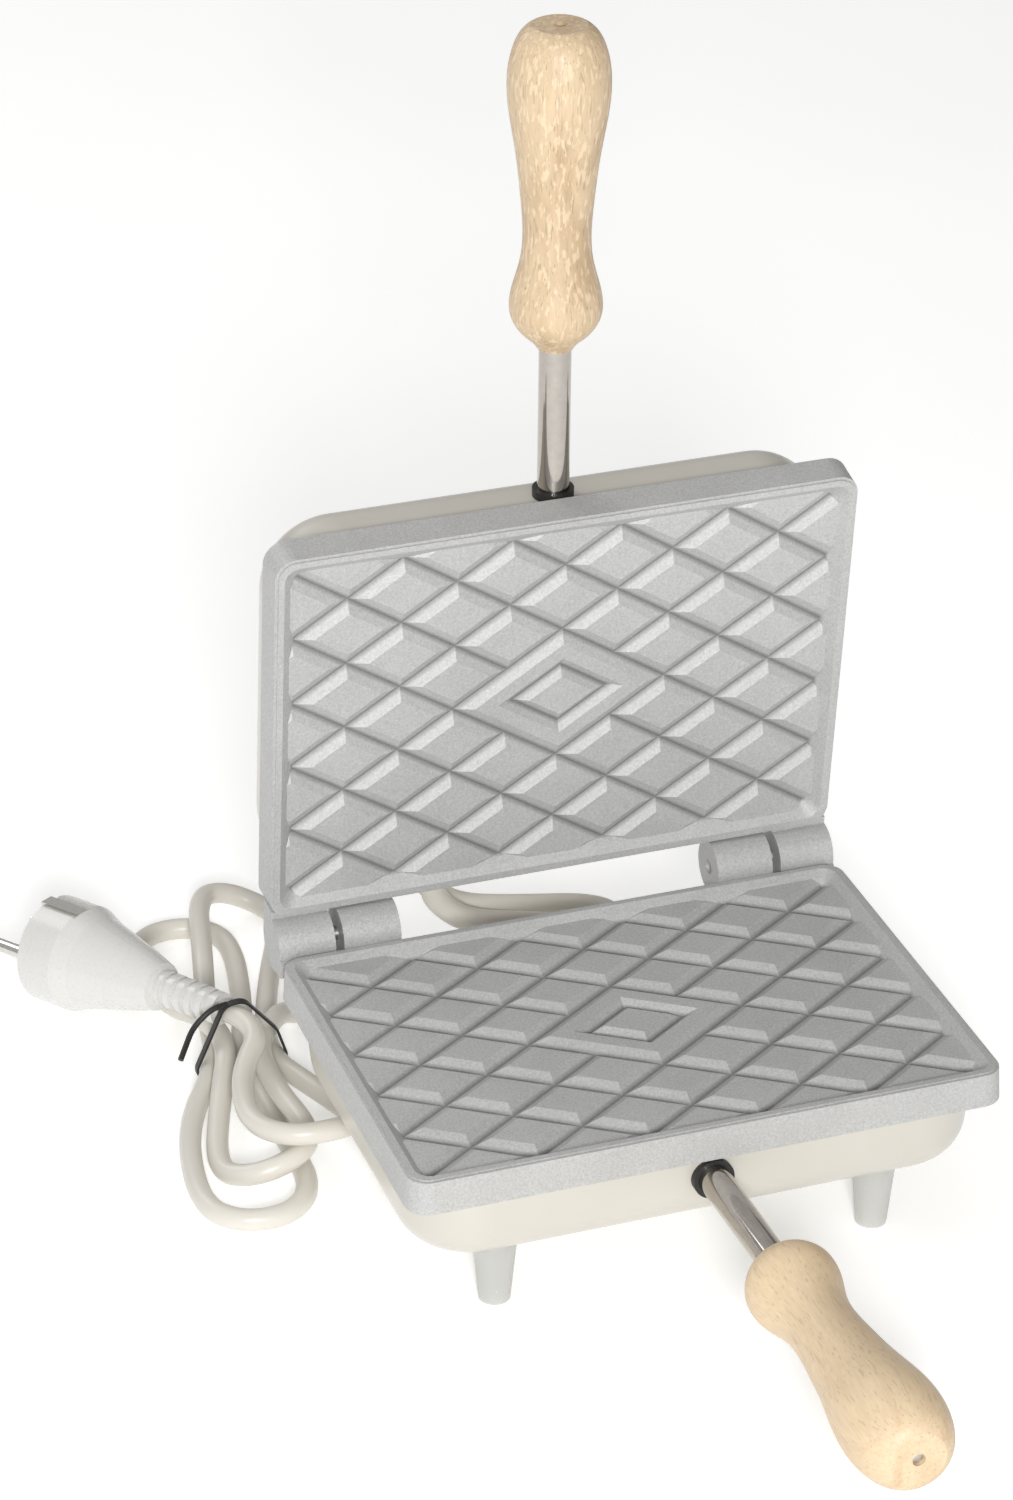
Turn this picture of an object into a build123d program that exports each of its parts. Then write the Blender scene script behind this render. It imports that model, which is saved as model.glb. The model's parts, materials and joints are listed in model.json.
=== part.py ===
"""Electric pizzelle maker: two hinged cast plates, sheet shells, wooden handles, leads and a cord hank.

Millimetres, +Z up, X along the hinge, handles towards -Y. It is drawn with the two plates' parting plane
at z = 0 and moved onto its feet when it is written. Upper pieces are drawn closed and then opened.
"""
import os
from math import atan, cos, degrees, hypot, pi, radians, sin, tan

from build123d import *

os.makedirs("parts", exist_ok=True)

# Whole object
stand_h = 64.6
open_angle = 84.0
close_gap = 0.1

# Cooking plates
plate_w = 200.0
plate_d = 140.0
plate_t = 12.0
plate_r = 7.0
plate_flare = 0.7
rim_w = 3.0
rim_step_w = 1.0
rim_step_h = 0.6
top_drop = 2.2
top_inset = 5.6
valley_drop = 4.6
valley_inset = 8.0
cells = 10
field_side = 7.0
field_end = 7.6
groove_half = 3.9
ring_half = 3.0
ring_d = 9.2
floor_z = 9.4
pocket_inset = 6.0
pocket_r = 21.0

# Sheet shells
shell_inset = 2.2
shell_r = 26.0
shell_deep = 27.0
shell_draft = 6.0
shell_fillet = 14.0
shell_t = 1.0

# Hinge
hinge_out = 10.2
hinge_y = plate_d / 2 + hinge_out
knuckle_r = 9.5
inner_len = 20.0
outer_len = 19.5
knuckle_gap = 3.0
outer_x = (plate_w / 2 - 0.5 - outer_len, plate_w / 2 - 0.5)
inner_x = (outer_x[0] - knuckle_gap - inner_len, outer_x[0] - knuckle_gap)
pin_r = 2.5
pin_x = (inner_x[0] + 3, outer_x[1] - 1.5)
fit = 0.05

# Feet and screws
foot_x = plate_w / 2 - 34.6
foot_y = plate_d / 2 - 22.4
foot_top_r = 7.6
foot_low_r = 5.25
foot_bore_r = 3.8
foot_seat = 6.0
pillar_r = 5.0
screw_r = 1.95
screw_head_r = 3.5
screw_head_h = 2.4
screw_into = 12.0

# Handles
handle_z = 19.6
lower_tilt = 1.9
upper_tilt = -5.4
tube_r = 5.3
tube_wall = 1.0
tube_from = -12.0
bush_r = 6.85
bush_lip = 0.85
bush_out = 0.6
grip_from = 50.6
grip_len = 109.0
socket_len = 12.0
grip_r = [
    (0.0, 5.9), (2.7, 8.0), (5.5, 11.0), (12.3, 14.8), (15.5, 15.0), (25.9, 12.75), (32.8, 11.3),
    (42.3, 11.0), (53.2, 11.9), (66.9, 13.5), (80.5, 15.7), (90.0, 16.4), (101.0, 14.8), (107.0, 11.6),
    (109.0, 8.8),
]
lug_len = 10.0
lug_half = 8.0
lug_over = 1.0
rod_r = 2.0
rod_recess = 1.5

# Heaters and what is beside them
heater_r = 3.3
heater_x = plate_w / 2 - 46
heater_y = plate_d / 2 - 34
heater_bend = 12.0
terminal_x = 12.0
terminal_y = heater_y - 12
terminal_bend = 10.0
heater_gap = 0.2
clamp_over = 11.0
clamp_len = 2 * (heater_x + clamp_over)
clamp_w = 14.0
clamp_t = 1.2
cutout_r = 7.5
cutout_h = 7.0
cutout_at = (30.0, heater_y - 14)
block_at = (-10.0, heater_y)
block_size = (30.0, 16.0, 14.0)
block_screw_r = 2.9
lead_d = 2.2

# Jumper leads between the shells, and the mains cord's gland
jumper_d = 8.6
jumper_out_x = -37.0
jumper_out_z = (20.0, 31.0)
jumper_in_x = (20.0, 32.0)
jumper_in_z = stand_h - plate_t - 14
gland_x = -45.0
gland_r = 7.0
gland_hole_r = 6.2
gland_out = 3.0
shell_back = plate_d / 2 + plate_flare - shell_inset
inner_y = shell_back - 10.5

# Mains cord, its hank and its plug, with heights above the table
cord_d = 7.5
level = 8.0
waist_lift = 2.4
tie_y = 102.0
tie_w = 2.6
tie_t = 0.8
tie_slack = 0.75
tie_wire = 2.0
lay_z = cord_d / 2
join_at = (-71.0, 132.6)
join_turn = 214.3
plug_face = (-152.0, 175.0)
plug_turn = 122.0
plug_dip = 4.0
plug_z = 19.3
plug_r = 19.0
plug_len = 52.0
relief_len = 28.0
pin_len = 19.0
pin_pitch = 19.0
plug_pin_r = 2.4


def rod(at, along, r, length):
    """A solid cylinder from a point along a direction."""
    return Solid.make_cylinder(r, length, Plane(origin=at, z_dir=along))


def block(x0, x1, y0, y1, z0, z1):
    """A box between two corners."""
    return Pos((x0 + x1) / 2, (y0 + y1) / 2, (z0 + z1) / 2) * Box(x1 - x0, y1 - y0, z1 - z0)


def level_rect(w, d, r, z):
    """A rounded rectangle at a height."""
    return Plane.XY.offset(z) * RectangleRounded(w, d, r)


def opened(shape):
    """A lid piece turned from closed to its open stop."""
    return shape.rotate(Axis((0, hinge_y, 0), (1, 0, 0)), -open_angle)


def lid(shape):
    """A piece drawn as for the lower half, mirrored onto the lid and opened."""
    return opened(mirror(shape, Plane.XY))


# Cooking plates


def rhombus(d, z):
    """A rhombus of the lattice's shape, whose edges lie a distance from the centre."""
    a, b = half_cell()
    k = d * hypot(a, b) / (a * b)
    return Plane.XY.offset(z) * Polygon((a * k, 0), (0, b * k), (-a * k, 0), (0, -b * k), align=None)


def half_cell():
    return (plate_w - 2 * field_side) / cells, (plate_d - 2 * field_end) / cells


def recess():
    """The sloped hollow from the rim plane to the tops of the relief."""
    top = level_rect(plate_w - 2 * rim_w, plate_d - 2 * rim_w, 5.0, 0.0)
    low = level_rect(plate_w - 2 * top_inset, plate_d - 2 * top_inset, 3.5, -top_drop)
    return loft([top, low])


def groove_field():
    """The volume that the grooves may fill, with the centre block left standing."""
    top = level_rect(plate_w - 2 * top_inset, plate_d - 2 * top_inset, 3.5, -top_drop)
    low = level_rect(plate_w - 2 * valley_inset, plate_d - 2 * valley_inset, 1.5, -valley_drop)
    block_d = 2 * half_cell()[0] * half_cell()[1] / hypot(*half_cell())
    keep = loft([rhombus(block_d - groove_half, -top_drop), rhombus(block_d, -valley_drop)])
    return loft([top, low]) - keep


def groove(sign, number):
    """One straight V groove across the plate, on a diagonal of the lattice."""
    a, b = half_cell()
    along = Vector(a, sign * b, 0).normalized()
    across = Vector(-along.Y, along.X, 0)
    middle = Vector(a * number, 0, 0)
    deep = valley_drop - top_drop
    reach = plate_w / 2 + plate_d / 2
    start = middle - along * reach + Vector(0, 0, -top_drop)
    section = Plane(origin=start, x_dir=across, z_dir=along)
    up = 1 if section.y_dir.Z > 0 else -1
    edge = groove_half * 1.2
    shape = Polygon((-edge, 0.2 * deep * up), (edge, 0.2 * deep * up), (0, -deep * up), align=None)
    return extrude(section * shape, amount=2 * reach, dir=along)


def grooves():
    """Both families of grooves, and the ring groove round the centre rhombus."""
    cut = Part()
    for number in range(-cells + 2, cells, 2):
        cut += groove(1, number)
        cut += groove(-1, number)
    field = groove_field() & cut
    outer = loft([rhombus(ring_d + ring_half, -top_drop), rhombus(ring_d + 0.15, -valley_drop)])
    inner = loft([rhombus(ring_d - ring_half, -top_drop), rhombus(ring_d - 0.15, -valley_drop)])
    return field, outer - inner


def knuckles(spans):
    """Knuckles on both sides with their webs to the plate's back edge, before the pin's bore."""
    made = Part()
    for x0, x1 in spans:
        barrel = rod((x0, hinge_y, 0), (1, 0, 0), knuckle_r, x1 - x0)
        web = block(x0, x1, plate_d / 2 - 2, hinge_y, -knuckle_r, -0.8)
        made += barrel + web
    return made


def pin_bore():
    """The hinge pins' bores, from the inner knuckles' inner ends to just past the pins."""
    x0, x1 = inner_x[0] - 1, pin_x[1] + fit
    r = pin_r + fit
    right = rod((x0, hinge_y, 0), (1, 0, 0), r, x1 - x0)
    return right + mirror(right, Plane.YZ)


def both_sides(span):
    return [span, (-span[1], -span[0])]


def handle_plane(tilt):
    """The handle's axis: its origin is under the plate's front edge and z runs outwards."""
    a = radians(tilt)
    return Plane(origin=(0, -plate_d / 2, -handle_z), x_dir=(1, 0, 0), z_dir=(0, -cos(a), sin(a)))


def lug(plane):
    """The cast lug that the handle's tube is seated on, with the tie rod's bore."""
    up = handle_z - floor_z + lug_over
    middle = Pos(0, (up - lug_half) / 2, tube_from - lug_len / 2)
    return plane * middle * Box(2 * lug_half, up + lug_half, lug_len)


def plate(spans, tilt):
    """A cooking plate with its relief, skirt, pillars, boss, handle lug and knuckles."""
    low_w = plate_w + 2 * plate_flare
    low_d = plate_d + 2 * plate_flare
    slope = degrees(atan(plate_flare / plate_t))
    x1, y1 = low_w / 2 + 5, low_d / 2 + 5
    body = extrude(level_rect(low_w, low_d, plate_r + plate_flare, -plate_t), amount=plate_t, taper=slope)
    body -= block(-x1, x1, -y1, y1, -close_gap / 2, 1)
    step = block(-x1, x1, -y1, y1, -rim_step_h, 1)
    inner = level_rect(plate_w - 2 * rim_step_w, plate_d - 2 * rim_step_w, plate_r - rim_step_w, -rim_step_h)
    step -= extrude(inner, amount=2)
    body -= step
    body -= recess()
    for cut in grooves():
        body -= cut
    pocket_w = low_w - 2 * pocket_inset
    pocket_d = low_d - 2 * pocket_inset
    body -= extrude(level_rect(pocket_w, pocket_d, pocket_r, -plate_t), amount=plate_t - floor_z)
    for x in (-foot_x, foot_x):
        for y in (-foot_y, foot_y):
            long = plate_t + shell_deep - shell_t - floor_z + 0.5
            body += rod((x, y, -floor_z + 0.5), (0, 0, -1), pillar_r, long)
    body += rod((0, 0, -floor_z + 0.5), (0, 0, -1), pillar_r, 0.5 + heater_gap + 2 * heater_r + 0.1)
    plane = handle_plane(tilt)
    body += lug(plane)
    body += knuckles(spans)
    for x in (-foot_x, foot_x):
        for y in (-foot_y, foot_y):
            body -= rod((x, y, -plate_t - shell_deep), (0, 0, 1), screw_r + fit, shell_t + screw_into + 0.5)
    body -= rod((0, 0, -floor_z - 8), (0, 0, 1), screw_r + fit, 8)
    body -= plane * Pos(0, 0, tube_from - lug_len - 1) * Cylinder(
        rod_r + fit, lug_len + 2, align=(Align.CENTER, Align.CENTER, Align.MIN))
    return body - pin_bore()


def stop_heel():
    """The heel on each outer knuckle that rests on the lower plate's back edge, lid open."""
    y0 = plate_d / 2 + close_gap
    slope = plate_flare / plate_t
    points = [
        (y0 + 1.5 * slope, -1.5), (y0 + 8 * slope, -8), (hinge_y - 4, -8.6), (hinge_y, -8.6),
        (hinge_y, -3.0), (hinge_y - 4, -1.5),
    ]
    face = Plane.YZ.offset(outer_x[0]) * Polygon(*points, align=None)
    right = extrude(face, amount=outer_x[1] - outer_x[0])
    return right + mirror(right, Plane.YZ)


# Shells


def shell_solid(grow):
    """The shell's outside, or its inside where the wall is taken off."""
    w = plate_w + 2 * plate_flare - 2 * shell_inset - 2 * grow
    d = plate_d + 2 * plate_flare - 2 * shell_inset - 2 * grow
    sketch = level_rect(w, d, shell_r - grow, -plate_t)
    solid = extrude(sketch, amount=shell_deep - grow, dir=(0, 0, -1), taper=shell_draft)
    return fillet(solid.faces().sort_by(Axis.Z)[0].edges(), shell_fillet - grow)


def shell(tilt, wall_holes):
    """A drawn sheet shell with holes for its screws, its handle and its leads."""
    body = shell_solid(0) - shell_solid(shell_t)
    for x in (-foot_x, foot_x):
        for y in (-foot_y, foot_y):
            body -= rod((x, y, -plate_t - shell_deep - 1), (0, 0, 1), screw_r + fit, 4)
    body -= handle_plane(tilt) * Pos(0, 0, -6) * Cylinder(bush_r - bush_lip + fit, 24)
    for x, z, r in wall_holes:
        body -= rod((x, inner_y, z), (0, 1, 0), r, shell_back - inner_y + 5)
    return body


def gland(x, z, r_out, r_bore):
    """A grommet in the back wall: a flange outside that follows the wall, and a sleeve through it."""
    flange = rod((x, inner_y - 3, z), (0, 1, 0), r_out, shell_back + gland_out - inner_y + 3)
    flange -= shell_solid(0)
    sleeve = rod((x, inner_y + 6, z), (0, 1, 0), gland_hole_r - fit, 6)
    return flange + sleeve - rod((x, inner_y - 8, z), (0, 1, 0), r_bore, 40)


# Handles


def handle_parts(tilt):
    """Tube, grip, bush and tie rod of one handle."""
    plane = handle_plane(tilt)
    up = (Align.CENTER, Align.CENTER, Align.MIN)
    tube_len = grip_from + socket_len - tube_from
    tube_end = Pos(0, 0, tube_from)
    tube = tube_end * (Cylinder(tube_r, tube_len, align=up) - Cylinder(tube_r - tube_wall, tube_len, align=up))
    profile = [Vector(r, 0, grip_from + t) for t, r in grip_r]
    side = Spline(*profile)
    base = Polyline(
        profile[-1], Vector(rod_r + fit, 0, profile[-1].Z),
        Vector(rod_r + fit, 0, grip_from + socket_len), Vector(tube_r + fit, 0, grip_from + socket_len),
        Vector(tube_r + fit, 0, grip_from), profile[0])
    grip = revolve(make_face(Wire([side] + base.edges())), Axis.Z)
    bush = Pos(0, 0, -5) * Cylinder(bush_r, 5 + bush_out, align=up)
    bush = plane * bush - shell_solid(0)
    sleeve = plane * Pos(0, 0, -7) * Cylinder(bush_r - bush_lip, 7, align=up)
    bush = bush + sleeve - plane * Pos(0, 0, -20) * Cylinder(tube_r + fit, 40, align=up)
    rod_len = grip_from + grip_len - rod_recess - tube_from + lug_len - 1
    tie = plane * Pos(0, 0, tube_from - lug_len + 1) * Cylinder(rod_r, rod_len, align=up)
    return plane * tube, plane * grip, bush, tie


# Heaters and wiring


def bends(points, share=0.45):
    """Radii for a route's corners, each as large as its two runs allow."""
    radii = []
    for a, b, c in zip(points, points[1:], points[2:]):
        one, two = Vector(*b) - Vector(*a), Vector(*c) - Vector(*b)
        turn = radians(one.get_angle(two))
        radii.append(share * min(one.length, two.length) / tan(turn / 2))
    return radii


def tube_along(name, points, d, radii=None):
    """A round tube on straight runs joined by tangent arcs, with its volume checked."""
    radii = radii or bends(points)
    path = FilletPolyline(*points, radius=radii)
    solid = sweep(Plane(origin=path @ 0, z_dir=path % 0) * Circle(d / 2), path=path)
    whole = pi * d * d / 4 * path.length
    print(name, "length", round(path.length, 1), "least bend", round(min(radii), 1),
          "volume ratio", round(solid.volume / whole, 4))
    return solid, path


def heater():
    """The tubular heater's loop under the plate's floor, its ends pointing forwards."""
    z = -floor_z - heater_gap - heater_r
    points = [
        (-terminal_x, terminal_y, z), (-terminal_x, heater_y, z), (-heater_x, heater_y, z),
        (-heater_x, -heater_y, z), (heater_x, -heater_y, z), (heater_x, heater_y, z),
        (terminal_x, heater_y, z), (terminal_x, terminal_y, z),
    ]
    radii = [terminal_bend] + [heater_bend] * 4 + [terminal_bend]
    return tube_along("heater", points, 2 * heater_r, radii)[0]


def clamp():
    """The strap across the heater, on the plate's boss."""
    z = -floor_z - heater_gap - 2 * heater_r - 0.1
    strap = block(-clamp_len / 2, clamp_len / 2, -clamp_w / 2, clamp_w / 2, z - clamp_t, z)
    return strap - rod((0, 0, z - 5), (0, 0, 1), screw_r + fit, 10)


def screw(x, y, z_head, into):
    """A pan-head screw pointing up, its head's seat at a height."""
    head = rod((x, y, z_head), (0, 0, -1), screw_head_r, screw_head_h)
    head -= block(x - 2.2, x + 2.2, y - 0.5, y + 0.5, z_head - screw_head_h, z_head - screw_head_h + 1.1)
    return head + rod((x, y, z_head), (0, 0, 1), screw_r, into)


def clamp_screw():
    z = -floor_z - heater_gap - 2 * heater_r - 0.1 - clamp_t
    return screw(0, 0, z, clamp_t + 6)


def cutout():
    x, y = cutout_at
    return rod((x, y, -floor_z), (0, 0, -1), cutout_r, cutout_h)


def foot_screws():
    z = -plate_t - shell_deep - foot_seat
    return Compound([screw(x, y, z, foot_seat + shell_t + screw_into) for x, y in corners()])


def shell_screws():
    z = -plate_t - shell_deep
    return Compound([screw(x, y, z, shell_t + screw_into) for x, y in corners()])


def corners():
    return [(x, y) for y in (-foot_y, foot_y) for x in (-foot_x, foot_x)]


def foot(x, y):
    """A hollow tapered foot, with its screw's seat near the top."""
    top = -plate_t - shell_deep
    high = stand_h + top
    side = [(foot_bore_r, 0), (foot_low_r, 0), (foot_top_r, high), (screw_r + fit, high),
            (screw_r + fit, high - foot_seat), (foot_bore_r, high - foot_seat)]
    face = Plane.XZ * Polygon(*side, align=None)
    return Pos(x, y, -stand_h) * revolve(face, Axis.Z)


def terminal_block():
    x, y = block_at
    w, d, h = block_size
    z = -plate_t - shell_deep + shell_t
    body = block(x - w / 2, x + w / 2, y - d / 2, y + d / 2, z, z + h)
    for s in (-1, 1):
        body -= rod((x + s * w / 4, y, z + h - 2), (0, 0, 1), block_screw_r + 0.1, 5)
    return body


def block_screws():
    x, y = block_at
    w, d, h = block_size
    z = -plate_t - shell_deep + shell_t + h - 2
    return Compound([rod((x + s * w / 4, y, z), (0, 0, 1), block_screw_r, 1.6) for s in (-1, 1)])


def lower_leads():
    """Inner leads of the lower half: mains, jumpers and heater, each to the block."""
    x, y = block_at
    w, d, h = block_size
    left, right = x - w / 2, x + w / 2
    mains_z = jumper_in_z - stand_h
    made = []
    for dz in (-1.6, 1.6):
        z = mains_z + dz
        route = [(gland_x, inner_y, z), (gland_x, y, z), (left, y, z)]
        made.append(tube_along("mains lead", route, lead_d)[0])
    z = mains_z
    for jx, ty in ((jumper_in_x[0], y + 4), (jumper_in_x[1], y - 4)):
        route = [(jx, inner_y, z), (jx, ty, z), (right, ty, z)]
        made.append(tube_along("jumper lead", route, lead_d)[0])
    hz = -floor_z - heater_gap - heater_r
    front = terminal_y - 15
    for tx, bx in ((-terminal_x, x - 8), (terminal_x, x + 12)):
        route = [(tx, terminal_y, hz), (tx, front, hz), (bx, front, hz - 18), (bx, y - d / 2, hz - 18)]
        made.append(tube_along("heater lead", route, lead_d)[0])
    return Compound(made)


def upper_leads():
    """Inner leads of the lid, drawn below the parting plane: from each jumper to the heater."""
    hz = -floor_z - heater_gap - heater_r
    front = terminal_y - 15
    made = []
    for tx, z0, deep in ((-terminal_x, jumper_out_z[0], 29.0), (terminal_x, jumper_out_z[1], 34.0)):
        route = [
            (tx, terminal_y, hz), (tx, front, hz), (tx, front, -deep),
            (jumper_out_x, front + 24, -deep), (jumper_out_x, inner_y - 11, -z0),
            (jumper_out_x, inner_y, -z0),
        ]
        made.append(tube_along("lid lead", route, lead_d)[0])
    return Compound(made)


# Jumper leads, mains cord, hank and plug


def lid_point(x, y, z):
    """Where a point of the closed lid lies with the lid open."""
    a = radians(open_angle)
    dy, dz = y - hinge_y, z
    return (x, hinge_y + dy * cos(a) + dz * sin(a), -dy * sin(a) + dz * cos(a))


def jumper_routes():
    """Both strands, from inside the open lid's shell down and across into the lower shell."""
    floor = -stand_h
    routes = []
    for z, end_x, out in ((jumper_out_z[0], jumper_in_x[0], 19.3), (jumper_out_z[1], jumper_in_x[1], 30.8)):
        back = hinge_y + out
        routes.append([
            lid_point(jumper_out_x, inner_y, z), lid_point(jumper_out_x, inner_y + 24, z),
            (jumper_out_x + 2, back, floor + 57.5), (jumper_out_x + 13, back, floor + 47.5),
            (jumper_out_x + 33, back, floor + 43.0), (end_x - 4, back - 3, floor + 39.5),
            (end_x, back - 18, floor + jumper_in_z), (end_x, inner_y, floor + jumper_in_z),
        ])
    return routes


def lobe(cx, cy, r, first, turn, heights):
    """Corner points round a loop's end, from a bearing through a turn, at the given heights."""
    step = turn / len(heights)
    out = r / cos(radians(step / 2))
    bearings = [radians(first + step * (n + 0.5)) for n in range(len(heights))]
    return [(cx + out * cos(t), cy + out * sin(t), z) for t, z in zip(bearings, heights)]


def hank_route():
    """The tied hank from the lead's side to the plug: three loops below the tie and two above."""
    a, b, c = lay_z, lay_z + level, lay_z + 2 * level
    low, mid = a + waist_lift, b + waist_lift - 0.3
    pts = [ahead(0), ahead(7), (-84.5, 120.5, b - 1), (-91.5, 110.5, b + 2.6), (-100.6, 97.0, mid)]
    pts += [(-101.5, 74.0, b + 0.2)]
    pts += lobe(-114.4, 46.0, 15.2, 20, -220, [b + 0.2, b + 0.2, a + 4, a])
    pts += [(-119.5, 78.0, a + 4.5), (-108.8, 103.0, mid), (-113.0, 124.0, b + 1.8), (-118.5, 148.0, a)]
    pts += lobe(-103.5, 180.0, 17.0, 190, -210, [a, a, a, a])
    pts += [(-92.5, 142.0, a), (-104.6, 103.0, low), (-103.0, 78.0, a), (-103.6, 54.0, a)]
    pts += lobe(-122.4, 29.5, 17.4, 15, -215, [a, a, a, a])
    pts += [(-133.5, 72.0, a), (-113.0, 103.0, low), (-107.0, 138.0, a + 0.5), (-99.5, 168.0, b + 0.2)]
    pts += lobe(-79.5, 191.0, 15.0, 160, -180, [b + 0.6, b - 2, a + 1, a])
    pts += [(-82.0, 148.0, a), (-96.2, 103.0, low), (-86.0, 76.0, a + 3)]
    pts += lobe(-99.5, 49.0, 17.4, 15, -215, [a + 9, c + 0.2, c + 0.2, c - 1])
    end = -plug_len - relief_len
    return pts + [(-113.5, 74.0, c), plug_point(end - 19), plug_point(end)]


def ahead(along):
    """A point on the straight run, on the table, where the hank's cord meets the mains cord."""
    t = radians(join_turn)
    return (join_at[0] + along * cos(t), join_at[1] + along * sin(t), lay_z)


def plug_point(along):
    """A point on the plug's axis, the distance counted from its face towards the pins."""
    t, e = radians(plug_turn), radians(plug_dip)
    x = plug_face[0] + along * cos(t) * cos(e)
    y = plug_face[1] + along * sin(t) * cos(e)
    return (x, y, plug_z - along * sin(e))


def mains_route():
    """The mains cord from inside its gland down to the table and round to the hank."""
    return [
        (gland_x, inner_y, jumper_in_z), (gland_x, shell_back + 17.5, jumper_in_z), (-41.5, 104.0, 21.0),
        (-36.5, 116.0, 6.5), (-35.0, 128.0, lay_z), (-45.0, 139.8, lay_z), ahead(-13), ahead(0),
    ]


def least_gap(name, path, d):
    """The least clear distance from a tube to itself, measured on points."""
    count = int(path.length / 1.5)
    spots = [path @ (n / count) for n in range(count + 1)]
    apart = int(2.2 * d / 1.5) + 1
    best = min(
        ((spots[i] - spots[j]).length - d, i, j)
        for i in range(len(spots)) for j in range(i + apart, len(spots)))
    where = spots[best[1]]
    print(name, "least gap to itself", round(best[0], 2), "at", [round(v, 1) for v in where])


def on_table(shape):
    return Pos(0, 0, -stand_h) * shape


def plug_plane():
    way = Vector(*plug_point(1)) - Vector(*plug_point(0))
    side = Vector(0, 0, 1).cross(way).normalized()
    return Plane(origin=plug_point(0), x_dir=way.cross(side), z_dir=way)


def plug_body():
    """The moulded plug with its ribbed strain relief, its pins' and earth clips' seats open."""
    side = [(0, 0), (plug_r - 1.5, 0), (plug_r, -1.5), (plug_r, -16), (plug_r - 2.5, -22),
            (11.5, -42), (8.6, -plug_len), (6.4, -plug_len - 1)]
    ribs = 5
    pitch = (relief_len - 4) / ribs
    for n in range(ribs):
        z = -plug_len - 1 - n * pitch
        r = 6.4 - 0.12 * n
        side += [(r, z - pitch * 0.55), (r - 1.0, z - pitch * 0.6), (r - 1.0, z - pitch * 0.95), (r - 0.12, z - pitch)]
    side += [(5.8, -plug_len - relief_len), (0, -plug_len - relief_len)]
    body = revolve(make_face(Polyline(*[Vector(r, 0, z) for r, z in side], close=True)), Axis.Z)
    for s in (-1, 1):
        body -= Pos(s * plug_r, 0, -8) * Box(3.0, 9.0, 18)
        body -= Pos(0, s * pin_pitch / 2, -8) * Cylinder(plug_pin_r, 16.0)
    return on_table(plug_plane() * body)


def plug_pins():
    up = (Align.CENTER, Align.CENTER, Align.MIN)
    made = []
    for s in (-1, 1):
        pin = Pos(0, s * pin_pitch / 2, -16) * Cylinder(plug_pin_r, 16 + pin_len, align=up)
        top = pin.edges().filter_by(GeomType.CIRCLE).sort_by(Axis.Z)[-1]
        made.append(on_table(plug_plane() * chamfer(top, 0.9)))
    return Compound(made)


def plug_clips():
    """The two earth clips, each lying in its slot in the plug's side."""
    made = []
    for s in (-1, 1):
        strip = Pos(s * (plug_r - 0.9), 0, -8.2) * Box(1.2, 5.0, 17.5)
        made.append(on_table(plug_plane() * strip))
    return Compound(made)


def waist_spots(path, y):
    """Where the hank's strands pass a plane across the waist, as heights above the table."""
    count = int(path.length / 2)
    spots = [path @ (n / count) for n in range(count + 1)]
    found = []
    for one, two in zip(spots, spots[1:]):
        if (one.Y - y) * (two.Y - y) <= 0:
            at = one + (two - one) * ((y - one.Y) / (two.Y - one.Y))
            found.append(at)
    return found


def tie(path):
    """The twist tie: a band drawn round the waist of the hank, and its twisted ends."""
    front = Plane(origin=(0, tie_y + tie_w / 2, 0), x_dir=(1, 0, 0), z_dir=(0, -1, 0))
    spots = waist_spots(path, tie_y - tie_w / 2) + waist_spots(path, tie_y + tie_w / 2)
    r = cord_d / 2 + tie_slack
    hole = make_hull([Pos(at.X, at.Z) * Edge.make_circle(r) for at in spots])
    band = front * extrude(offset(hole, amount=tie_t) - hole, amount=tie_w)
    top = max(spots, key=lambda at: at.Z - at.X / 2)
    x, z = top.X - 0.45 * (r + tie_t), top.Z + 0.9 * (r + tie_t)
    ends = [(x, tie_y, z), (x - 6, tie_y - 1.5, z), (x - 13, tie_y - 3, z - 5), (x - 20, tie_y - 12, z - 11)]
    return on_table(band + tube_along("tie ends", ends, tie_wire)[0])


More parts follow.
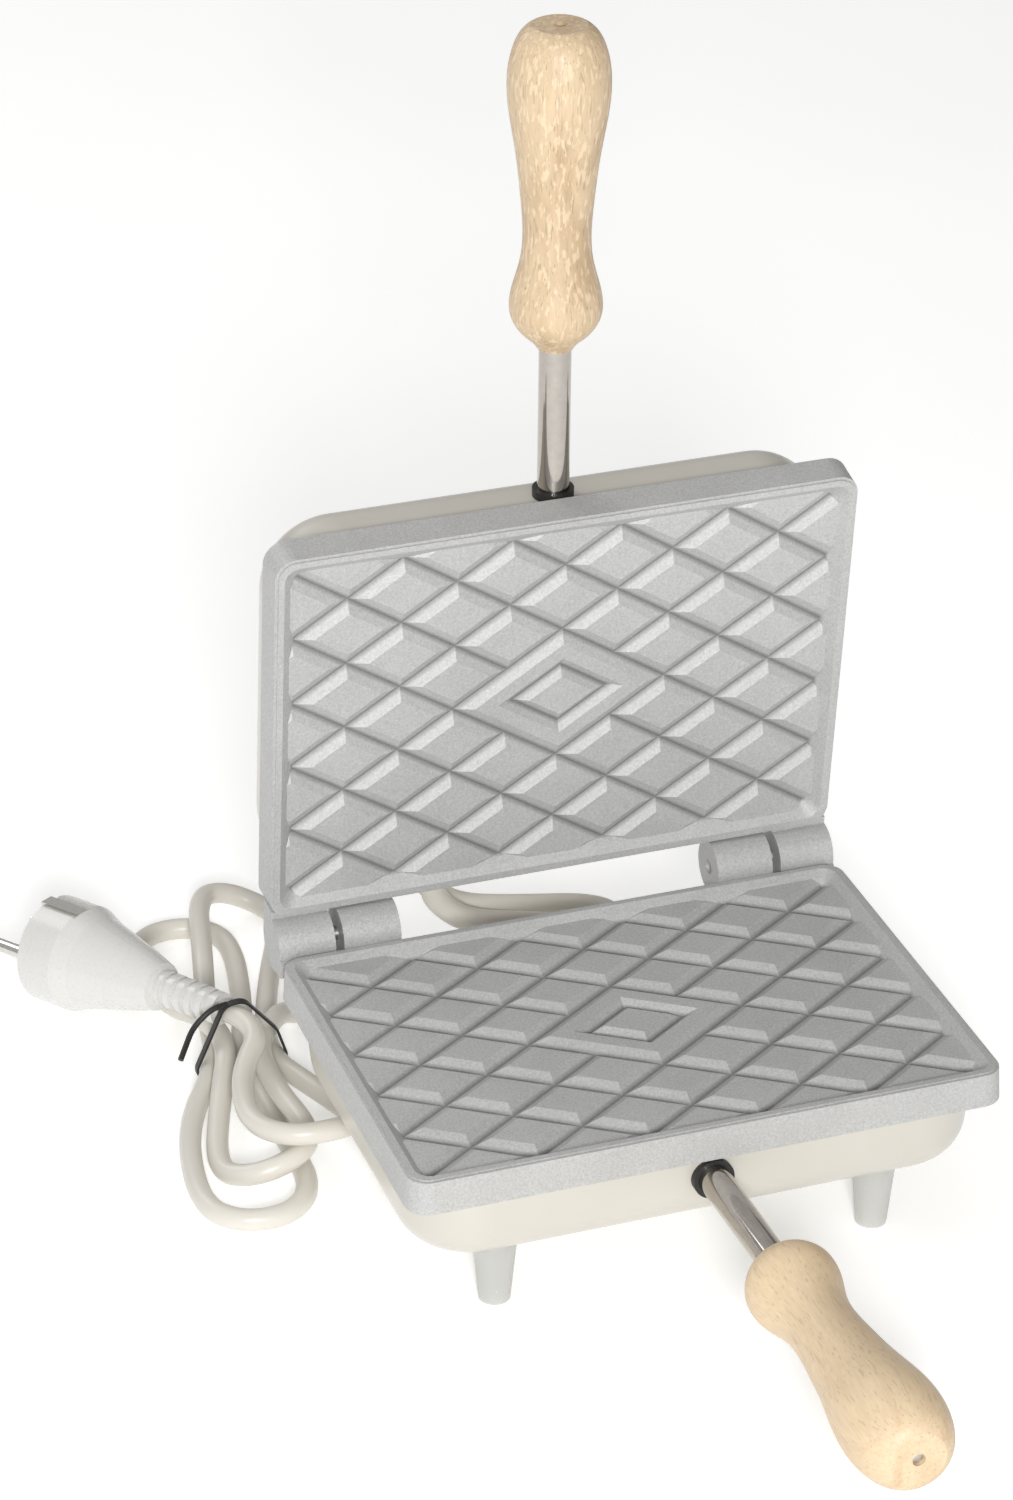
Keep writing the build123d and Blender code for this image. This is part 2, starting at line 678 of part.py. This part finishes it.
def build():
    parts = {}
    lower = plate(both_sides(inner_x), lower_tilt)
    parts["lower_plate"] = lower
    parts["upper_plate"] = lid(plate(both_sides(outer_x), upper_tilt)) + stop_heel()
    jumper_in = [(x, jumper_in_z - stand_h, gland_hole_r) for x in jumper_in_x]
    cord_in = [(gland_x, jumper_in_z - stand_h, gland_hole_r)]
    jumper_out = [(jumper_out_x, -z, gland_hole_r) for z in jumper_out_z]
    parts["lower_shell"] = shell(lower_tilt, jumper_in + cord_in)
    parts["upper_shell"] = lid(shell(upper_tilt, jumper_out))
    for name, tilt in (("lower", lower_tilt), ("upper", upper_tilt)):
        made = handle_parts(tilt)
        for key, shape in zip(("handle_tube", "grip", "handle_bush", "handle_rod"), made):
            parts[name + "_" + key] = lid(shape) if name == "upper" else shape
    pin = rod((pin_x[0], hinge_y, 0), (1, 0, 0), pin_r, pin_x[1] - pin_x[0])
    parts["hinge_pins"] = Compound([pin, mirror(pin, Plane.YZ)])
    for name, x, y in (("foot_front_left", -foot_x, -foot_y), ("foot_front_right", foot_x, -foot_y),
                       ("foot_rear_left", -foot_x, foot_y), ("foot_rear_right", foot_x, foot_y)):
        parts[name] = foot(x, y)
    parts["foot_screws"] = foot_screws()
    parts["upper_shell_screws"] = lid(shell_screws())
    parts["lower_heater"] = heater()
    parts["upper_heater"] = lid(parts["lower_heater"])
    parts["lower_heater_clamp"] = clamp()
    parts["upper_heater_clamp"] = lid(clamp())
    parts["lower_clamp_screw"] = clamp_screw()
    parts["upper_clamp_screw"] = lid(clamp_screw())
    parts["thermal_cutout"] = cutout()
    parts["terminal_block"] = terminal_block()
    parts["terminal_screws"] = block_screws()
    parts["lower_inner_leads"] = lower_leads()
    parts["upper_inner_leads"] = lid(upper_leads())
    z = jumper_in_z - stand_h
    bore = jumper_d / 2 + fit
    parts["lower_jumper_glands"] = Compound([gland(x, z, gland_r, bore) for x in jumper_in_x])
    parts["upper_jumper_glands"] = lid(
        Compound([gland(jumper_out_x, -d, gland_r - 1.6, bore) for d in jumper_out_z]))
    parts["cord_gland"] = gland(gland_x, z, gland_r, cord_d / 2 + fit)
    strands = [tube_along("jumper", route, jumper_d) for route in jumper_routes()]
    parts["jumper_leads"] = Compound([solid for solid, path in strands])
    cord, path = tube_along("mains cord", mains_route(), cord_d)
    parts["mains_cord"] = on_table(cord)
    least_gap("mains cord", path, cord_d)
    hank, path = tube_along("hank", hank_route(), cord_d)
    parts["cord_hank"] = on_table(hank)
    least_gap("hank", path, cord_d)
    parts["cord_tie"] = tie(path)
    parts["plug_body"] = plug_body()
    parts["plug_pins"] = plug_pins()
    parts["plug_earth_clips"] = plug_clips()
    return parts


loose = ("mains_cord", "cord_hank", "cord_tie", "plug_body", "plug_pins", "plug_earth_clips")
parts = build()
boxes = [shape.bounding_box() for name, shape in parts.items() if name not in loose]
y0 = min(b.min.Y for b in boxes)
y1 = max(b.max.Y for b in boxes)
shift = Pos(0, -(y0 + y1) / 2, stand_h)
print("moved back by", round(-(y0 + y1) / 2, 3), "sizes", round(max(b.max.X for b in boxes) * 2, 2),
      round(y1 - y0, 2), round(max(b.max.Z for b in boxes) + stand_h, 2))
for name, shape in parts.items():
    solids = shape.solids()
    whole = solids[0] if len(solids) == 1 else Compound(solids)
    export_step(shift * whole, "parts/" + name + ".step")
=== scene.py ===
"""The electric pizzelle maker in its materials, with its lid open, on a pale floor in soft light."""

import json
import math

import bpy
from mathutils import Matrix, Vector


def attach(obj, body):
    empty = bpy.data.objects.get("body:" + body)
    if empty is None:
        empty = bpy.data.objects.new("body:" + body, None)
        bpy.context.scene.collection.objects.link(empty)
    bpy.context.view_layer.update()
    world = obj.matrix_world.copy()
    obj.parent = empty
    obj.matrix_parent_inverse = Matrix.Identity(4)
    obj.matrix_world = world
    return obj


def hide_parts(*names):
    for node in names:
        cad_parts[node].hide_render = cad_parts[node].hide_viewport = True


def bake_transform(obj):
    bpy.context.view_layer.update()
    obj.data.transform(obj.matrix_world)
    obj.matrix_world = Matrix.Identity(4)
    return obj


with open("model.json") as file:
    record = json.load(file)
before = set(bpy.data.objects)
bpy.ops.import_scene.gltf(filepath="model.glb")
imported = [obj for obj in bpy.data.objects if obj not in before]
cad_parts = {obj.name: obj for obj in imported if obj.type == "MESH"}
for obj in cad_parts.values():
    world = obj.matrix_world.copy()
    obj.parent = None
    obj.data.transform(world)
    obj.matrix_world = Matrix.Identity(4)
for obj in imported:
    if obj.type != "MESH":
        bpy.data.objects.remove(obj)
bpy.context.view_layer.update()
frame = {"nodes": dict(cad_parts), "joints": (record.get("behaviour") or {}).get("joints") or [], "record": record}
nodes = frame["nodes"]
hinge = frame["joints"][0]
scene = bpy.context.scene

# The maker's sizes, in millimetres and degrees
MM = 0.001
PLATE_W = 200.0
PLATE_D = 140.0
PLATE_T = 12.0
HINGE_Y = PLATE_D / 2 + 10.2
INNER_Y = PLATE_D / 2 - 12.0
CORD_D = 7.5
JUMPER_D = 8.6
PARTING = hinge["pos_m"][2] / MM
OPEN = hinge["range_deg"][1]
LOWER_TILT = 1.9
UPPER_TILT = -5.4
LEAD_Z = PARTING - PLATE_T - 14.0

# The shift along Y from the maker's drawing, which has its origin under the plate's middle, to the frame
BACK = hinge["pos_m"][1] / MM - HINGE_Y

# The camera's place in the drawing, its turn, rise and roll in degrees, and its lens
CAMERA_AT = (-480.543, -1219.552, 892.656)
CAMERA_TURN = -19.635
CAMERA_RISE = 29.1255
CAMERA_ROLL = 0.3629
CAMERA_LENS = 114.01
SENSOR_W = 36.0

# Painted groove shade: from and to which depth it grows, its most, and how far from the plate's edge it ends
SHADE_FROM = 2.3
SHADE_TO = 4.9
SHADE_MOST = 0.82
SHADE_EDGE = 3.2

# The plates' edges: their rounding, the least angle that is rounded, and what counts as flat or as one point
EDGE_ROUND = 0.35
EDGE_ANGLE = 22.0
FLAT_ANGLE = 0.02
WELD_GAP = 0.001

# The mains cord: its gland, the rise of a strand over another, where its straight run meets the hank and the
# run's bearing, and the plug's face, bearing and dip, with its tail's place along its axis
GLAND_X = -45.0
LEVEL = 8.0
JOIN_AT = (-71.0, 132.6)
JOIN_TURN = 214.3
PLUG_FACE = (-152.0, 175.0, 19.3)
PLUG_TURN = 122.0
PLUG_DIP = 4.0
PLUG_END = -80.0

# The jumper leads: where they leave the lid's shell, and for each one its height there, its place across the
# lower shell and how far it stands behind the hinge
JUMPER_X = -37.0
JUMPERS = ((20.0, 20.0, 19.3), (31.0, 32.0, 30.8))

# The stage, in metres and watts: each lamp has a place, a width and a power
FLOOR_HALF = 7.0
LAMPS = {
    "key": ((-0.55, -1.7, 0.95), 0.4, 29.0),
    "rim": ((-0.7, 1.3, 1.2), 0.8, 5.0),
    "top": ((0.1, 0.1, 2.0), 1.2, 2.5),
}
LAMPS_AIM = (0.0, 0.06, 0.1)
STUDIO_STRENGTH = 0.5

BLACK = (0, 0, 0)
WHITE = (1, 1, 1)


def at(x, y, z):
    """A point of the maker's drawing, its height above the table, in metres in the frame."""
    return Vector((x * MM, (y + BACK) * MM, z * MM))


def placed(name, data):
    """A new object in the scene."""
    obj = bpy.data.objects.new(name, data)
    scene.collection.objects.link(obj)
    return obj


def camera():
    """The camera at the photograph's place and angle, and colours shown as they are."""
    scene.view_settings.view_transform = "Standard"
    cam = placed("camera", bpy.data.cameras.new("camera"))
    turn = Matrix.Rotation(math.radians(CAMERA_TURN), 4, "Z")
    rise = Matrix.Rotation(math.radians(90.0 - CAMERA_RISE), 4, "X")
    roll = Matrix.Rotation(math.radians(CAMERA_ROLL), 4, "Z")
    cam.matrix_world = Matrix.Translation(at(*CAMERA_AT)) @ turn @ rise @ roll
    cam.data.sensor_width = SENSOR_W
    cam.data.lens = CAMERA_LENS
    cam.data.clip_start = 0.05
    cam.data.clip_end = 20.0
    scene.camera = cam


# Materials


class Nodes:
    """A material's node tree, with short calls for the nodes that the finishes share."""

    def __init__(self, name):
        self.mat = bpy.data.materials.new(name)
        self.mat.use_nodes = True
        self.tree = self.mat.node_tree
        self.bsdf = self.tree.nodes["Principled BSDF"]
        self.coords = self.add("ShaderNodeTexCoord").outputs["Object"]

    def add(self, kind, **settings):
        node = self.tree.nodes.new(kind)
        for key, value in settings.items():
            setattr(node, key, value)
        return node

    def link(self, a, b):
        self.tree.links.new(a, b)

    def put(self, **values):
        """Constants on the shader's own sockets."""
        for key, value in values.items():
            self.bsdf.inputs[key.replace("_", " ")].default_value = value

    def mapped(self, scale=(1, 1, 1), turn=(0, 0, 0), source=None):
        node = self.add("ShaderNodeMapping")
        node.inputs["Scale"].default_value = scale
        node.inputs["Rotation"].default_value = turn
        self.link(source or self.coords, node.inputs["Vector"])
        return node.outputs["Vector"]

    def noise(self, scale, detail=3.0, rough=0.5, source=None, distortion=0.0):
        node = self.add("ShaderNodeTexNoise")
        node.inputs["Scale"].default_value = scale
        node.inputs["Detail"].default_value = detail
        node.inputs["Roughness"].default_value = rough
        node.inputs["Distortion"].default_value = distortion
        self.link(source or self.coords, node.inputs["Vector"])
        return node.outputs["Fac"]

    def ramp(self, value, stops):
        """Colours along a value, from (place, colour) pairs."""
        node = self.add("ShaderNodeValToRGB")
        while len(node.color_ramp.elements) < len(stops):
            node.color_ramp.elements.new(0.5)
        for element, (place, colour) in zip(node.color_ramp.elements, stops):
            element.position = place
            element.color = (*colour, 1)
        self.link(value, node.inputs["Fac"])
        return node.outputs["Color"]

    def span(self, value, low, high, start=0.0, end=1.0):
        """A value from start to end, drawn onto low to high."""
        node = self.add("ShaderNodeMapRange")
        for key, v in (("From Min", start), ("From Max", end), ("To Min", low), ("To Max", high)):
            node.inputs[key].default_value = v
        self.link(value, node.inputs["Value"])
        return node.outputs["Result"]

    def maths(self, kind, a, b=None):
        node = self.add("ShaderNodeMath", operation=kind)
        for n, value in enumerate((a, b)):
            if value is None:
                continue
            if isinstance(value, (int, float)):
                node.inputs[n].default_value = value
            else:
                self.link(value, node.inputs[n])
        return node.outputs["Value"]

    def vector(self, kind, a, b):
        node = self.add("ShaderNodeVectorMath", operation=kind)
        self.link(a, node.inputs[0])
        node.inputs[1].default_value = b
        return node.outputs["Value" if kind == "DOT_PRODUCT" else "Vector"]

    def mix(self, fac, a, b, kind="MIX"):
        node = self.add("ShaderNodeMix", data_type="RGBA", blend_type=kind)
        for key, value in (("Factor", fac), ("A", a), ("B", b)):
            socket = [s for s in node.inputs if s.name == key and s.enabled][0]
            if isinstance(value, (int, float)):
                socket.default_value = value
            elif isinstance(value, tuple):
                socket.default_value = (*value, 1)
            else:
                self.link(value, socket)
        return [s for s in node.outputs if s.enabled][0]

    def bump(self, height, distance, strength=1.0, normal=None):
        node = self.add("ShaderNodeBump")
        node.inputs["Distance"].default_value = distance
        node.inputs["Strength"].default_value = strength
        self.link(height, node.inputs["Height"])
        if normal is not None:
            self.link(normal, node.inputs["Normal"])
        return node.outputs["Normal"]

    def finish(self, colour, rough=None, normal=None):
        """Feeds the shader and gives the material."""
        for socket, value in (("Base Color", colour), ("Roughness", rough), ("Normal", normal)):
            if value is not None:
                self.link(value, self.bsdf.inputs[socket])
        return self.mat


def toned(colour, share):
    """A colour made darker or lighter, short of white."""
    return tuple(min(c * share, 0.9) for c in colour)


def painted_groove_shade(n, into, out):
    """Painted shade: how dark a point of a plate is made, nothing on top and on the rim, and most down in the
    grooves.
    """
    from_hinge = n.vector("SUBTRACT", n.coords, tuple(at(0, HINGE_Y, PARTING)))
    depth = n.vector("DOT_PRODUCT", from_hinge, into)
    forward = n.vector("DOT_PRODUCT", from_hinge, out)
    along = n.maths("ABSOLUTE", n.maths("SUBTRACT", forward, HINGE_Y * MM))
    across = n.maths("ABSOLUTE", n.vector("DOT_PRODUCT", from_hinge, (1, 0, 0)))
    short_side = n.maths("LESS_THAN", along, (PLATE_D / 2 - SHADE_EDGE) * MM)
    long_side = n.maths("LESS_THAN", across, (PLATE_W / 2 - SHADE_EDGE) * MM)
    inside = n.maths("MULTIPLY", short_side, long_side)
    deep = n.ramp(n.span(depth, 0.0, 1.0, SHADE_FROM * MM, SHADE_TO * MM), [(0.5, BLACK), (0.98, WHITE)])
    return n.maths("MULTIPLY", n.maths("MULTIPLY", deep, inside), SHADE_MOST)


def cast_metal(name, into, out):
    """Grainy cast aluminium, with painted shade darkening it down in the relief's grooves.

    into points from the parting plane into the plate, and out from the hinge to the plate's front edge.
    """
    n = Nodes(name)
    grain = n.noise(1300, 5, 0.75)
    patches = n.noise(35, 3, 0.55)
    fine = n.ramp(grain, [(0.32, (0.34, 0.34, 0.335)), (0.68, (0.6, 0.6, 0.59))])
    slow = n.ramp(patches, [(0.3, (0.47, 0.47, 0.465)), (0.7, (0.6, 0.6, 0.59))])
    # Painted shade: the tone goes towards near black down in the grooves
    tone = n.mix(painted_groove_shade(n, into, out), n.mix(0.3, fine, slow), (0.08, 0.08, 0.075))
    coarse = n.bump(n.noise(420, 3, 0.6), 0.0003, 0.6)
    n.put(Metallic=0.25)
    return n.finish(tone, n.span(patches, 0.5, 0.62), n.bump(grain, 0.00016, 0.7, coarse))


def cream_enamel():
    n = Nodes("cream_enamel")
    tone = n.ramp(n.noise(18, 3, 0.5), [(0.3, (0.55, 0.525, 0.465)), (0.7, (0.585, 0.56, 0.5))])
    rough = n.span(n.noise(12, 2, 0.5), 0.27, 0.31)
    n.put(Coat_Weight=0.25, Coat_Roughness=0.12)
    return n.finish(tone, rough, n.bump(n.noise(25, 2, 0.5), 0.0002, 0.05))


def metal(name, tone, rough, spread=0.06, grain=600.0, bump=0.15):
    n = Nodes(name)
    fine = n.noise(grain, 4, 0.6)
    colour = n.ramp(fine, [(0.3, toned(tone, 0.88)), (0.7, tone)])
    n.put(Metallic=1.0)
    gloss = n.span(fine, rough - spread / 2, rough + spread / 2)
    return n.finish(colour, gloss, n.bump(fine, 0.00005, bump))


def plastic(name, tone, rough, bump=0.1, grain=500.0, **extra):
    n = Nodes(name)
    fine = n.noise(grain, 3, 0.6)
    colour = n.ramp(n.noise(22, 2, 0.5), [(0.3, toned(tone, 0.93)), (0.7, tone)])
    n.put(**extra)
    return n.finish(colour, n.span(fine, rough - 0.05, rough + 0.05), n.bump(fine, 0.00012, bump))


def wood(name, turn, light, dark, flecks):
    """Turned wood with its grain along the handle. A turn about X, in degrees, brings the handle upright."""
    n = Nodes(name)
    along = n.mapped(turn=(math.radians(turn), 0, 0))
    fibres = n.noise(900, 5, 0.65, n.mapped(scale=(1.0, 1.0, 0.08), source=along))
    bands = n.noise(55, 3, 0.55, n.mapped(scale=(1.0, 1.0, 0.22), source=along), 1.2)
    pores = n.noise(1500, 2, 0.5, n.mapped(scale=(1.0, 1.0, 0.07), source=along))
    spots = n.noise(700, 2, 0.5, n.mapped(scale=(1.0, 1.0, 0.3), turn=(0.0, 0.5, 0.0), source=along))
    tone = n.ramp(bands, [(0.3, dark), (0.5, light), (0.7, toned(light, 0.92))])
    tone = n.mix(0.4, tone, n.ramp(fibres, [(0.35, dark), (0.6, light)]), "MULTIPLY")
    pored = n.maths("MULTIPLY", n.ramp(pores, [(0.6, BLACK), (0.66, WHITE)]), 0.35 + 0.4 * flecks)
    tone = n.mix(pored, tone, toned(dark, 0.55))
    flecked = n.maths("MULTIPLY", n.ramp(spots, [(0.54, BLACK), (0.62, WHITE)]), flecks)
    tone = n.mix(flecked, tone, toned(light, 1.18))
    n.put(Coat_Weight=0.08, Coat_Roughness=0.3)
    surface = n.bump(fibres, 0.00025, 0.35, n.bump(pores, 0.0002, 0.3))
    return n.finish(tone, n.span(fibres, 0.42, 0.56), surface)


def paint(name, mat):
    mesh = nodes[name].data
    mesh.materials.clear()
    mesh.materials.append(mat)


def finishes():
    """Every CAD node's finish."""
    a = math.radians(OPEN)
    lid_into = (0, math.sin(a), math.cos(a))
    lid_out = (0, -math.cos(a), math.sin(a))
    clear = {"Transmission_Weight": 0.4, "IOR": 1.45}
    black = plastic("black_rubber", (0.016, 0.016, 0.015), 0.5, bump=0.2)
    cord = plastic("cord_sheath", (0.68, 0.65, 0.585), 0.36, bump=0.12, grain=700, Coat_Weight=0.1)
    lower_wood = wood("lower_grip_wood", LOWER_TILT - 90, (0.8, 0.66, 0.47), (0.66, 0.5, 0.33), 0.1)
    upper_wood = wood("upper_grip_wood", OPEN - UPPER_TILT - 90, (0.74, 0.6, 0.42), (0.56, 0.42, 0.27), 0.45)
    by_slot = {
        "plate_metal": cast_metal("lower_cast_aluminium", (0, 0, -1), (0, -1, 0)),
        "shell_paint": cream_enamel(),
        "heater_steel": metal("heater_sheath", (0.3, 0.28, 0.26), 0.5),
        "zinc_steel": metal("zinc_plate", (0.6, 0.6, 0.58), 0.35),
        "tube_steel": metal("polished_tube", (0.5, 0.465, 0.425), 0.1, spread=0.05, grain=300, bump=0.05),
        "pin_nickel": metal("nickel_plate", (0.72, 0.7, 0.66), 0.18),
        "terminal_brass": metal("brass", (0.62, 0.48, 0.22), 0.3),
        "bush_black": black,
        "tie_black": black,
        "foot_clear": plastic("clear_foot", (0.72, 0.72, 0.69), 0.25, bump=0.05, **clear),
        "ceramic_white": plastic("ceramic", (0.78, 0.76, 0.7), 0.7, bump=0.3),
        "lead_sleeve": plastic("lead_sleeve", (0.78, 0.74, 0.62), 0.6, bump=0.2),
        "gland_cream": plastic("cream_moulding", (0.7, 0.675, 0.61), 0.4),
        "plug_white": plastic("plug_moulding", (0.66, 0.655, 0.63), 0.28, bump=0.05, Coat_Weight=0.2),
        "cord_cream": cord,
        "grip_wood": lower_wood,
    }
    for part in frame["record"]["subparts"]:
        paint(part["node"], by_slot[part["material_slot"]])
    paint("upper_grip", upper_wood)
    paint("upper_plate", cast_metal("upper_cast_aluminium", lid_into, lid_out))
    return by_slot


def soften(name):
    """Rounds a CAD node's sharp edges with modifiers alone."""
    obj = nodes[name]
    weld = obj.modifiers.new("weld", "WELD")
    weld.merge_threshold = WELD_GAP * MM
    flat = obj.modifiers.new("flat", "DECIMATE")
    flat.decimate_type = "DISSOLVE"
    flat.angle_limit = math.radians(FLAT_ANGLE)
    bevel = obj.modifiers.new("bevel", "BEVEL")
    bevel.width = EDGE_ROUND * MM
    bevel.segments = 2
    bevel.limit_method = "ANGLE"
    bevel.angle_limit = math.radians(EDGE_ANGLE)
    bevel.use_clamp_overlap = True
    normals = obj.modifiers.new("normals", "WEIGHTED_NORMAL")
    normals.weight = 100
    normals.keep_sharp = True


# Mains cord


def lobe(cx, cy, r, first, turn, heights):
    """Corner points round a loop's end, from a bearing through a turn, at the given heights."""
    step = turn / len(heights)
    out = r / math.cos(math.radians(step / 2))
    turns = [math.radians(first + step * (k + 0.5)) for k in range(len(heights))]
    return [(cx + out * math.cos(t), cy + out * math.sin(t), z) for t, z in zip(turns, heights)]


def ahead(along):
    """A point on the cord's straight run on the table, before the hank."""
    t = math.radians(JOIN_TURN)
    return (JOIN_AT[0] + along * math.cos(t), JOIN_AT[1] + along * math.sin(t), CORD_D / 2)


def plug_point(along):
    """A point on the plug's axis, counted from its face towards the pins."""
    t = math.radians(PLUG_TURN)
    e = math.radians(PLUG_DIP)
    x, y, z = PLUG_FACE
    flat = along * math.cos(e)
    return (x + flat * math.cos(t), y + flat * math.sin(t), z - along * math.sin(e))


def cord_route():
    """The cord from its gland to the table, through the tied hank and into the plug.

    a, b and c are a strand's heights on the table, over one strand and over two. low and mid are those under
    the tie.
    """
    a = CORD_D / 2
    b = a + LEVEL
    c = b + LEVEL
    low = a + 2.4
    mid = b + 2.1
    pts = [(GLAND_X, INNER_Y, LEAD_Z), (GLAND_X, INNER_Y + 28, LEAD_Z), (-41.5, 104.0, 21.0)]
    pts += [(-36.5, 116.0, 6.5), (-35.0, 128.0, a), (-45.0, 139.8, a), ahead(-13), ahead(0), ahead(7)]
    pts += [(-84.5, 120.5, b - 1), (-91.5, 110.5, b + 2.6), (-100.6, 97.0, mid), (-101.5, 74.0, b + 0.2)]
    pts += lobe(-114.4, 46.0, 15.2, 20, -220, [b + 0.2, b + 0.2, a + 4, a])
    pts += [(-119.5, 78.0, a + 4.5), (-108.8, 103.0, mid), (-113.0, 124.0, b + 1.8), (-118.5, 148.0, a)]
    pts += lobe(-103.5, 180.0, 17.0, 190, -210, [a, a, a, a])
    pts += [(-92.5, 142.0, a), (-104.6, 103.0, low), (-103.0, 78.0, a), (-103.6, 54.0, a)]
    pts += lobe(-122.4, 29.5, 17.4, 15, -215, [a, a, a, a])
    pts += [(-133.5, 72.0, a), (-113.0, 103.0, low), (-107.0, 138.0, a + 0.5), (-99.5, 168.0, b + 0.2)]
    pts += lobe(-79.5, 191.0, 15.0, 160, -180, [b + 0.6, b - 2, a + 1, a])
    pts += [(-82.0, 148.0, a), (-96.2, 103.0, low), (-86.0, 76.0, a + 3)]
    pts += lobe(-99.5, 49.0, 17.4, 15, -215, [a + 9, c + 0.2, c + 0.2, c - 1])
    return pts + [(-113.5, 74.0, c), plug_point(PLUG_END - 19), plug_point(PLUG_END)]


def nurbs(name, points, radius):
    """A round cord on one smooth spline, whose control points are the route's points."""
    data = bpy.data.curves.new(name, "CURVE")
    data.dimensions = "3D"
    data.resolution_u = 12
    spline = data.splines.new("NURBS")
    spline.points.add(len(points) - 1)
    for point, p in zip(spline.points, points):
        point.co = (*p, 1)
    spline.order_u = 3
    spline.use_endpoint_u = True
    spline.use_smooth = True
    data.bevel_depth = radius
    data.bevel_resolution = 6
    data.use_fill_caps = True
    return placed(name, data)


def mains_cord(mat):
    points = [at(*p) for p in cord_route()]
    obj = nurbs("mains_cord_line", points, CORD_D / 2 * MM)
    obj.data.materials.append(mat)
    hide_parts("mains_cord", "cord_hank")
    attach(obj, "base")


# Jumper leads between the halves


def lid_point(x, y, z):
    """Where a point of the closed lid lies with the lid open. z is counted from the parting plane."""
    a = math.radians(OPEN)
    dy = y - HINGE_Y
    open_y = HINGE_Y + dy * math.cos(a) + z * math.sin(a)
    return (x, open_y, PARTING - dy * math.sin(a) + z * math.cos(a))


def jumper_routes():
    """Both strands, from inside the open lid's shell down and across into the lower shell."""
    routes = []
    for z, end_x, out in JUMPERS:
        back = HINGE_Y + out
        routes.append([
            lid_point(JUMPER_X, INNER_Y, z), lid_point(JUMPER_X, INNER_Y + 24, z),
            (JUMPER_X + 2, back, 57.5), (JUMPER_X + 13, back, 47.5), (JUMPER_X + 33, back, 43.0),
            (end_x - 4, back - 3, 39.5), (end_x, back - 18, LEAD_Z), (end_x, INNER_Y, LEAD_Z),
        ])
    return routes


def jumper_leads(mat):
    """Two sleeved leads, laid for the open lid."""
    made = []
    for number, route in enumerate(jumper_routes(), 1):
        line = nurbs("jumper_line", [at(*p) for p in route], JUMPER_D / 2 * MM)
        mesh = bpy.data.meshes.new_from_object(line.evaluated_get(bpy.context.evaluated_depsgraph_get()))
        bpy.data.objects.remove(line)
        mesh.materials.clear()
        mesh.materials.append(mat)
        made.append(placed("jumper_lead_%d" % number, mesh))
    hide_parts("jumper_leads")
    for lead in made:
        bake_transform(lead)


# Stage


def floor():
    """A pale floor."""
    half = FLOOR_HALF
    corners = [(-half, -half, 0), (half, -half, 0), (half, half, 0), (-half, half, 0)]
    mesh = bpy.data.meshes.new("floor")
    mesh.from_pydata(corners, [], [(0, 1, 2, 3)])
    n = Nodes("pale_floor")
    tone = n.ramp(n.noise(6, 2, 0.5), [(0.3, (0.9, 0.9, 0.895)), (0.7, (0.92, 0.92, 0.915))])
    n.put(Roughness=0.9, Specular_IOR_Level=0.1, Emission_Color=(1, 1, 1, 1), Emission_Strength=0.34)
    mesh.materials.append(n.finish(tone))
    placed("floor", mesh)


def studio_light():
    """A grey studio with a darker right side, for the polished metal, and a soft key from the front left."""
    world = bpy.data.worlds.new("studio")
    scene.world = world
    world.use_nodes = True
    tree = world.node_tree
    background = tree.nodes["Background"]
    place = tree.nodes.new("ShaderNodeTexCoord")
    parts = tree.nodes.new("ShaderNodeSeparateXYZ")
    ramp = tree.nodes.new("ShaderNodeValToRGB")
    tree.links.new(place.outputs["Generated"], parts.inputs["Vector"])
    tree.links.new(parts.outputs["X"], ramp.inputs["Fac"])
    tree.links.new(ramp.outputs["Color"], background.inputs["Color"])
    left, right = ramp.color_ramp.elements
    left.position = 0.2
    left.color = (1, 1, 1, 1)
    right.position = 0.75
    right.color = (0.16, 0.145, 0.13, 1)
    background.inputs["Strength"].default_value = STUDIO_STRENGTH
    for name, (spot, size, power) in LAMPS.items():
        data = bpy.data.lights.new(name, "AREA")
        data.shape = "DISK"
        data.size = size
        data.energy = power
        lamp = placed(name, data)
        lamp.location = spot
        lamp.rotation_mode = "QUATERNION"
        lamp.rotation_quaternion = (Vector(spot) - Vector(LAMPS_AIM)).to_track_quat("Z", "Y")


camera()
by_slot = finishes()
mains_cord(by_slot["cord_cream"])
jumper_leads(by_slot["cord_cream"])
for plate in ("lower_plate", "upper_plate"):
    soften(plate)
floor()
studio_light()
